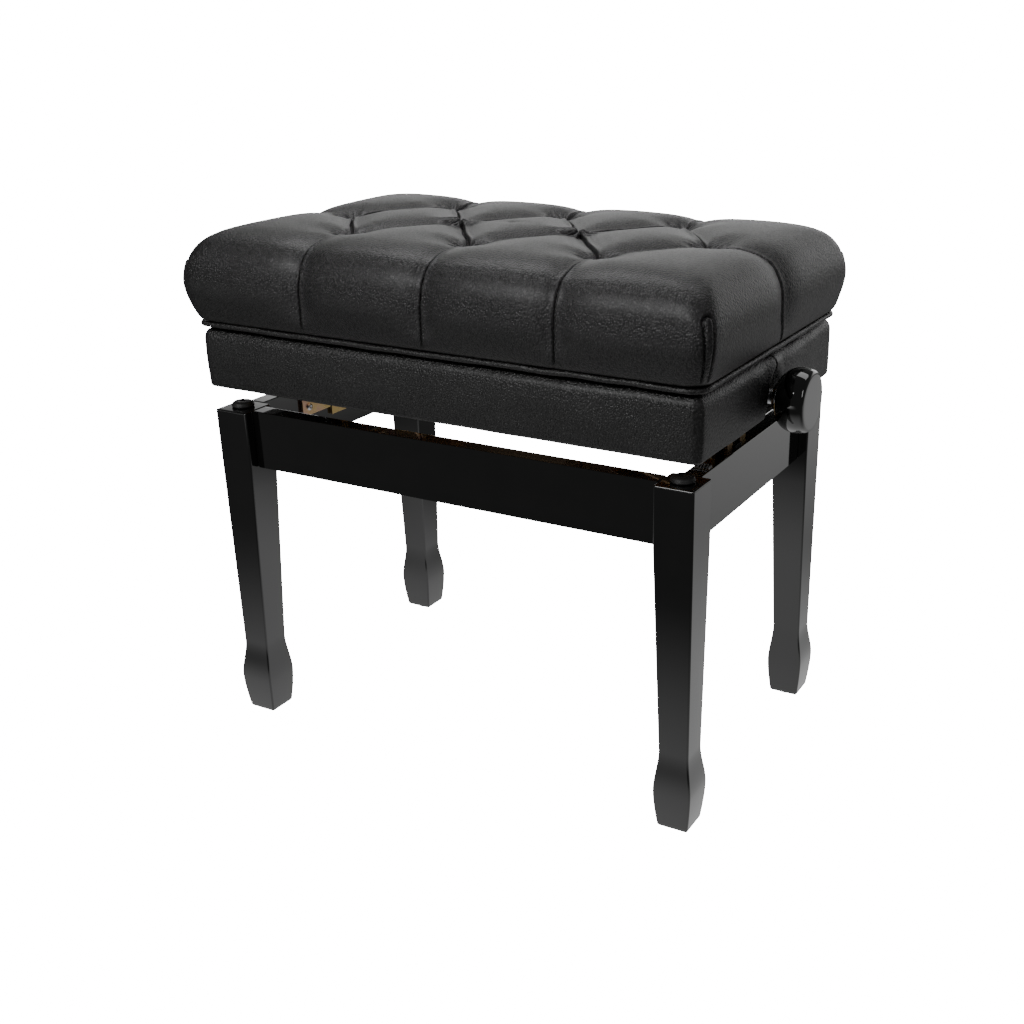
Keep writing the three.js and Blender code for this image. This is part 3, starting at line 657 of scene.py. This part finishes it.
def to_segment(points, segment):
    """Signed distance from each point to a segment in plan, and how far along the segment it is."""
    start = np.array(segment[0], float)
    run = np.array(segment[1], float) - start
    length = np.linalg.norm(run)
    run /= length
    away = points[:, :2] - start
    along = np.clip(away @ run, 0, length)
    nearest = away - along[:, None] * run
    side = np.sign(run[0] * away[:, 1] - run[1] * away[:, 0])
    return np.linalg.norm(nearest, axis=1) * np.where(side == 0, 1, side), along / length


def cushion_rings(crown, swell):
    """Rings of the padded top from its underside up and over to the crown, in mm."""
    edge = [(-8.5, 427.6), (-7.5, 429.5), (-3.6, 440), (-0.6, 455), (0, 466), (-2.2, 480), (-6.5, 491.5),
            (-14, 502), (-26, 509), (-46, 513.5), (-84, 515.5), (-125, 516), (-170, 516)]
    knots = np.array(edge, float)
    lengths = np.concatenate([[0], np.cumsum(np.linalg.norm(np.diff(knots, axis=0), axis=1))])
    stations = np.concatenate([np.arange(0, lengths[-1], 2.5), [lengths[-1]]])
    rings = []
    for station in stations:
        k = min(np.searchsorted(lengths, station, side="right") - 1, len(knots) - 2)
        t = (station - lengths[k]) / (lengths[k + 1] - lengths[k])
        before = knots[max(k - 1, 0)]
        after = knots[min(k + 2, len(knots) - 1)]
        a, b = knots[k], knots[k + 1]
        offset, z = 0.5 * (2 * a + (b - before) * t + (2 * before - 5 * a + 4 * b - after) * t * t
                           + (3 * a - before - 3 * b + after) * t ** 3)
        rise = (z - CUSHION_BOTTOM) * (crown - CUSHION_BOTTOM) / (CUSHION_PROFILE_TOP - CUSHION_BOTTOM)
        half = [float(size + offset + swell) for size in CUSHION_HALF]
        radius = float(min(CUSHION_CORNER_RADIUS - 0.42 * offset, half[1] - 1))
        rings.append(around_ring(half, radius, CUSHION_BOTTOM + rise))
    return rings


def around_ring(half, radius, z, count=384):
    """A fixed count of evenly spaced points around a rounded rectangle, from the middle of the right end."""
    straight = (2 * (half[1] - radius), 2 * (half[0] - radius))
    arc = math.pi / 2 * radius
    corners = [(1, 1), (-1, 1), (-1, -1), (1, -1)]
    total = 2 * sum(straight) + 4 * arc
    ring = []
    for k in range(count):
        s = (k / count * total + straight[0] / 2) % total
        for quarter in range(4):
            run = straight[quarter % 2]
            facing = quarter * math.pi / 2
            normal = Vector((math.cos(facing), math.sin(facing)))
            forward = Vector((-normal.y, normal.x))
            sx, sy = corners[quarter]
            centre = Vector((sx * (half[0] - radius), sy * (half[1] - radius)))
            if s <= run:
                point = centre + radius * normal - forward * (run - s)
                break
            s -= run
            if s <= arc:
                angle = facing + s / radius
                point = centre + radius * Vector((math.cos(angle), math.sin(angle)))
                break
            s -= arc
        ring.append((point.x, point.y, z))
    return ring


def valley(points, drop_line, drop_tuft, width):
    """How far below the pillow tops the cover is drawn in at each point."""
    depth = np.zeros(len(points))
    for segments, share in ((PLEATS, 1.0), (SEAMS, 0.75), (END_FOLDS, 0.7)):
        for segment in segments:
            distance, _ = to_segment(points, segment)
            depth = np.maximum(depth, share * drop_line * np.exp(-(np.abs(distance) / width) ** 1.1))
    for tuft in TUFTS:
        reach = np.linalg.norm(points[:, :2] - tuft, axis=1)
        depth = np.maximum(depth, drop_tuft * np.exp(-(reach / (1.25 * width)) ** 1.2))
    return depth


def vertex_array(mesh, field="co"):
    values = np.empty(len(mesh.vertices) * 3)
    mesh.vertices.foreach_get(field, values)
    return values.reshape(-1, 3)


def set_vertices(mesh, values):
    mesh.vertices.foreach_set("co", values.ravel())
    mesh.update()


def face_normals_at_vertices(mesh):
    normals = np.empty(len(mesh.vertices) * 3)
    mesh.vertex_normals.foreach_get("vector", normals)
    return normals.reshape(-1, 3)


def apply_modifiers(piece):
    """Replaces a piece's mesh with its evaluated one, which leaves no modifier on it."""
    depsgraph = bpy.context.evaluated_depsgraph_get()
    result = bpy.data.meshes.new_from_object(piece.evaluated_get(depsgraph))
    piece.modifiers.clear()
    piece.data = result


def inflate(piece, cap):
    """Cloth under pressure, pinned along the folds and the lower rim, moved no further than cap in mm."""
    before = vertex_array(piece.data) / MM
    pins = valley(before, 1.0, 1.0, 4.5)
    rim = np.clip((CUSHION_BOTTOM + RIM_HEIGHT - before[:, 2]) / 12, 0, 1)
    pins = np.clip(np.maximum(pins ** 2, rim), 0, 1)
    group = piece.vertex_groups.new(name="pins")
    for index, weight in enumerate(pins):
        if weight > 0.02:
            group.add([index], float(weight), "REPLACE")
    cloth = piece.modifiers.new("cloth", "CLOTH")
    settings = cloth.settings
    settings.vertex_group_mass = "pins"
    settings.mass = 0.3
    settings.tension_stiffness = 22
    settings.compression_stiffness = 22
    settings.shear_stiffness = 12
    settings.bending_stiffness = 10
    settings.use_pressure = True
    settings.uniform_pressure_force = 4
    settings.effector_weights.gravity = 0
    cloth.point_cache.frame_start = 1
    cloth.point_cache.frame_end = 20
    scene = bpy.context.scene
    for number in range(1, 21):
        scene.frame_set(number)
    apply_modifiers(piece)
    scene.frame_set(1)
    after = vertex_array(piece.data) / MM
    shift = after - before
    far = np.linalg.norm(shift, axis=1)
    limit = cap * np.tanh(far / cap)
    shift *= (limit / np.maximum(far, 1e-6))[:, None]
    set_vertices(piece.data, (before + shift) * MM)
    piece.vertex_groups.clear()


def refine_near_folds(piece, reach, tuft_reach, cuts):
    """Cuts the edges near folds, tufts and corner tucks into shorter ones."""
    points = vertex_array(piece.data) / MM
    close = np.zeros(len(points), bool)
    for segment in PLEATS + SEAMS + END_FOLDS:
        distance, _ = to_segment(points, segment)
        close |= np.abs(distance) < reach
    for tuft in TUFTS:
        close |= np.linalg.norm(points[:, :2] - tuft, axis=1) < tuft_reach
    across, _ = tuck_place(points)
    close |= np.abs(across) < 14
    close &= points[:, 2] > CUSHION_BOTTOM + 3
    mesh = bmesh.new()
    mesh.from_mesh(piece.data)
    mesh.verts.ensure_lookup_table()
    edges = [edge for edge in mesh.edges if close[edge.verts[0].index] and close[edge.verts[1].index]]
    bmesh.ops.subdivide_edges(mesh, edges=edges, cuts=cuts, use_grid_fill=True)
    mesh.to_mesh(piece.data)
    mesh.free()


def tuck_place(points):
    """Where each point is across the nearest corner tuck, in mm around the corner, and its height."""
    radius = 18.0
    centre = np.array(CUSHION_HALF, float) - radius
    away = np.abs(points[:, :2]) - centre
    angle = np.arctan2(away[:, 1], away[:, 0]) - math.pi / 4
    reach = np.linalg.norm(away, axis=1)
    around = np.where((away > -6).all(axis=1), reach * angle, 1e3)
    return around, points[:, 2]


def fold_creases(points):
    """Outward movement in mm that makes each fold: a dark cleft with one edge lapped over the other."""
    move_out = np.zeros(len(points))
    for segments, cleft, lap in ((PLEATS, 4.6, 1.6), (SEAMS, 3.2, 0.9), (END_FOLDS, 1.6, 0.5)):
        for segment in segments:
            distance, along = to_segment(points, segment)
            wave = 0.8 * np.sin(along * 9 + segment[0][0] * 0.05)
            d = distance + wave * np.sin(along * math.pi)
            near = np.abs(d) < 24
            lapped = lap * np.exp(-((d - 2.6) / 2.4) ** 2) + 0.4 * lap * np.exp(-((d - 2.6) / 9) ** 2)
            sunk = -0.5 * lap * np.exp(-((d + 3.0) / 5.0) ** 2)
            groove = -cleft * np.exp(-(np.abs(d) / 0.9) ** 1.7)
            change = np.where(near, lapped + sunk + groove, 0)
            stronger = np.abs(change) > np.abs(move_out)
            move_out = np.where(stronger, change, move_out)
    return move_out


def tuft_wrinkles(points):
    """Short puckers that run into each tuft."""
    move_out = np.zeros(len(points))
    for number, tuft in enumerate(TUFTS):
        away = points[:, :2] - tuft
        reach = np.linalg.norm(away, axis=1)
        angle = np.arctan2(away[:, 1], away[:, 0])
        spokes = np.sin(7 * angle + number) + 0.7 * np.sin(12 * angle + 2.3 * number)
        spokes += 0.5 * np.sin(17 * angle)
        envelope = np.exp(-((reach - 11) / 9) ** 2) * np.clip(reach / 5, 0, 1)
        move_out += 0.7 * spokes * envelope
        move_out -= 2.6 * np.exp(-(reach / 4.2) ** 2)
    return move_out


def corner_tucks(points):
    """A pleat down each corner: a narrow band with a rounded top between two clefts."""
    around, z = tuck_place(points)
    around = around + TUCK_SHIFT
    foot = CUSHION_BOTTOM + 4
    head = 482.0
    rise = np.clip((z - foot) / (head - foot), 0, 1)
    half_width = 3.2 + 1.8 * rise
    above = np.clip(z - head, 0, None)
    outside = np.sqrt(around ** 2 + above ** 2) - half_width
    cleft = -2.8 * np.exp(-(np.abs(outside) / 1.0) ** 1.6)
    pad = 0.9 * np.clip(-outside / 3, 0, 1)
    middle = -0.9 * np.exp(-(around / 1.4) ** 2) * (outside < 0) * (1 - rise)
    fade = np.clip((z - foot) / 4, 0, 1)
    return (cleft + pad + middle) * fade


def build_cushion():
    """Tufted top: pillows blown up by a cloth simulation, then folds, puckers and corner tucks."""
    crown = 517.5
    swell = -0.5
    cushion = loft("tufted_cushion", cushion_rings(crown, swell), "black_leather")
    points = vertex_array(cushion.data) / MM
    normals = face_normals_at_vertices(cushion.data)
    up_side = np.clip((points[:, 2] - CUSHION_BOTTOM - 6) / 20, 0, 1)
    drop = valley(points, SEAM_DROP, TUFT_DROP, VALLEY_WIDTH) * up_side
    on_top = np.clip((points[:, 2] - 500) / 12, 0, 1)[:, None]
    normals = normals * (1 - on_top) + np.array([0, 0, 1]) * on_top
    set_vertices(cushion.data, (points - normals * drop[:, None]) * MM)
    remesh = cushion.modifiers.new("remesh", "REMESH")
    remesh.mode = "VOXEL"
    remesh.voxel_size = VOXEL_SIZE * MM
    apply_modifiers(cushion)
    inflate(cushion, PILLOW_CAP)
    loose = cushion.vertex_groups.new(name="loose")
    for index, height in enumerate(vertex_array(cushion.data)[:, 2] / MM):
        loose.add([index], float(min(1, max(0, (height - CUSHION_BOTTOM - 4) / 10))), "REPLACE")
    relax = cushion.modifiers.new("relax", "SMOOTH")
    relax.vertex_group = "loose"
    relax.factor = 0.5
    relax.iterations = 5
    finer = cushion.modifiers.new("finer", "SUBSURF")
    finer.levels = 1
    finer.render_levels = 1
    apply_modifiers(cushion)
    refine_near_folds(cushion, 6, 20, 2)
    points = vertex_array(cushion.data) / MM
    normals = face_normals_at_vertices(cushion.data)
    out = fold_creases(points) + tuft_wrinkles(points) + corner_tucks(points)
    out *= np.clip((points[:, 2] - CUSHION_BOTTOM - 1) / 5, 0, 1)
    set_vertices(cushion.data, (points + normals * out[:, None]) * MM)
    cushion.data.shade_smooth()
    cushion.data.materials.clear()
    cushion.data.materials.append(MATERIALS["black_leather"])
    place(cushion, "seat", "cushion", slot="black_leather")


# ---------- finishes on the CAD pieces ----------

BEVELS = {
    "black_lacquer": 1.4, "bare_wood": 0.6, "yellow_zinc": 0.35, "bright_steel": 0.3,
    "bronze": 0.3, "black_nylon": 0.5,
}


def finish_cad_nodes():
    """Gives every CAD piece its material, and rounds the edges of those that stay visible."""
    for subpart in frame["record"]["subparts"]:
        piece = frame["nodes"][subpart["node"]]
        slot = subpart["material_slot"]
        if not piece.material_slots:
            piece.data.materials.append(MATERIALS[slot])
        for material_slot in piece.material_slots:
            material_slot.material = MATERIALS[slot]
        if slot in BEVELS:
            weld = piece.modifiers.new("weld", "WELD")
            weld.merge_threshold = 0.01 * MM
            bevel = piece.modifiers.new("rounded edges", "BEVEL")
            bevel.width = BEVELS[slot] * MM
            bevel.segments = 3
            bevel.limit_method = "ANGLE"
            bevel.angle_limit = math.radians(40)
            crisp_edges(piece)


# ---------- surroundings ----------

def flat_sheet(name, half_x, half_y, material):
    mesh = bpy.data.meshes.new(name)
    corners = [(-half_x, -half_y, 0), (half_x, -half_y, 0), (half_x, half_y, 0), (-half_x, half_y, 0)]
    mesh.from_pydata(corners, [], [(0, 1, 2, 3)])
    mesh.materials.append(material)
    sheet = bpy.data.objects.new(name, mesh)
    bpy.context.scene.collection.objects.link(sheet)
    return sheet


def build_floor():
    """A plain white floor that glows brightly enough to show no shadows, as in the photograph."""
    material, shader = new_material("pale_floor", Roughness=0.9)
    shader.inputs["Specular IOR Level"].default_value = 0.0
    vector = object_coordinates(material)
    cloud = noise_texture(material, vector, 3.0, 3.0)
    colour = ramp(material, cloud, [(0.3, (0.80, 0.80, 0.80)), (0.7, (0.82, 0.82, 0.82))])
    link(material, colour, shader.inputs["Base Color"])
    shader.inputs["Emission Color"].default_value = (1, 1, 1, 1)
    shader.inputs["Emission Strength"].default_value = FLOOR_GLOW
    floor = flat_sheet("floor", 29, 29, material)
    floor.visible_glossy = False
    floor.visible_diffuse = False


def build_backdrop():
    """A white wall behind, only for the camera, so that the floor runs on into white."""
    material = bpy.data.materials.new("white_backdrop")
    material.use_nodes = True
    material.node_tree.nodes.clear()
    glow = node(material, "ShaderNodeEmission", Strength=FLOOR_GLOW)
    node(material, "ShaderNodeOutputMaterial", {"Surface": glow.outputs["Emission"]})
    sphere = bpy.data.meshes.new("backdrop")
    shell = bmesh.new()
    bmesh.ops.create_uvsphere(shell, u_segments=48, v_segments=24, radius=30)
    shell.to_mesh(sphere)
    shell.free()
    sphere.materials.append(material)
    backdrop = bpy.data.objects.new("backdrop", sphere)
    bpy.context.scene.collection.objects.link(backdrop)
    backdrop.visible_glossy = False
    backdrop.visible_diffuse = False
    backdrop.visible_shadow = False
    backdrop.visible_transmission = False


def reflector(name, centre, half_size, turn, strength, soft_edge=0.35):
    """A glowing card with soft edges that shows only in reflections, and is clear where it is dark."""
    material = bpy.data.materials.new(name)
    material.use_nodes = True
    material.node_tree.nodes.clear()
    coordinates = node(material, "ShaderNodeTexCoord")
    axes = node(material, "ShaderNodeSeparateXYZ", {"Vector": coordinates.outputs["Object"]})
    fades = []
    for axis, half in zip("XY", half_size):
        distance = node(material, "ShaderNodeMath", {0: axes.outputs[axis]}, operation="ABSOLUTE")
        fade = node(material, "ShaderNodeMapRange", {"Value": distance.outputs["Value"]})
        fade.interpolation_type = "SMOOTHSTEP"
        fade.inputs["From Min"].default_value = half * (1 - soft_edge)
        fade.inputs["From Max"].default_value = half
        fade.inputs["To Min"].default_value = 1
        fade.inputs["To Max"].default_value = 0
        fades.append(fade.outputs["Result"])
    both = node(material, "ShaderNodeMath", {0: fades[0], 1: fades[1]}, operation="MULTIPLY")
    level = node(material, "ShaderNodeMath", {0: both.outputs["Value"]}, operation="MULTIPLY")
    level.inputs[1].default_value = strength
    glow = node(material, "ShaderNodeEmission", {"Strength": level.outputs["Value"]})
    clear = node(material, "ShaderNodeBsdfTransparent")
    added = node(material, "ShaderNodeAddShader", {0: glow.outputs["Emission"], 1: clear.outputs["BSDF"]})
    output = node(material, "ShaderNodeOutputMaterial", {"Surface": added.outputs["Shader"]})
    output.is_active_output = True
    card = flat_sheet(name, *half_size, material)
    card.location = centre
    card.rotation_euler = turn
    card.visible_camera = False
    card.visible_diffuse = False
    card.visible_shadow = False
    card.visible_transmission = False
    return card


def softbox(name, location, target, size, power):
    data = bpy.data.lights.new(name, "AREA")
    data.shape = "RECTANGLE"
    data.size, data.size_y = size
    data.energy = power
    light = bpy.data.objects.new(name, data)
    bpy.context.scene.collection.objects.link(light)
    light.location = location
    aim = Vector(target) - Vector(location)
    light.rotation_euler = aim.to_track_quat("-Z", "Y").to_euler()
    return light


def build_lights():
    """A dim world, cards for the lacquer to reflect, and soft lamps for the leather."""
    world = bpy.data.worlds.new("studio")
    bpy.context.scene.world = world
    world.use_nodes = True
    background = world.node_tree.nodes["Background"]
    background.inputs["Color"].default_value = (1, 1, 1, 1)
    background.inputs["Strength"].default_value = 0.085
    reflector("near_floor_card", (0, -0.02, 0.001), (0.85, 0.62), (0, 0, 0), 0.6, 0.8)
    reflector("right_floor_card", (1.3, 1.1, 0.002), (1.15, 1.25), (0, 0, 0), 0.34, 0.5)
    reflector("front_floor_card", (-1.2, -2.3, 0.003), (1.8, 1.3), (0, 0, 0), 1.6, 0.6)
    reflector("back_wall_card", (-0.6, 2.8, 0.9), (3.5, 0.9), (math.pi / 2, 0, 0), 1.3, 0.6)
    softbox("key", (-0.9, 0.6, 2.2), (0, 0, 0.45), (1.0, 0.7), 12)
    softbox("front", (-0.6, -2.0, 1.8), (0, 0, 0.4), (1.2, 0.5), 26)
    softbox("fill", (1.8, -1.2, 1.6), (0, 0, 0.4), (0.5, 0.9), 5)
    softbox("top", (0.3, 0.9, 2.6), (0, 0, 0.45), (1.6, 1.0), 9)


def build_camera():
    """The camera that was fitted to the photograph."""
    data = bpy.data.cameras.new("camera")
    data.sensor_width = 36
    data.lens = 45.97
    data.shift_x = -0.1063
    data.shift_y = 0.0443
    camera = bpy.data.objects.new("camera", data)
    bpy.context.scene.collection.objects.link(camera)
    camera.location = (0.6680, -1.0880, 0.7174)
    camera.rotation_euler = (math.radians(66.657), 0, math.radians(27.157))
    bpy.context.scene.camera = camera


build_camera()
build_legs()
build_bumpers()
build_knobs()
build_spindle()
build_screws()
build_skirt()
build_piping()
build_cushion()
finish_cad_nodes()
build_floor()
build_backdrop()
build_lights()
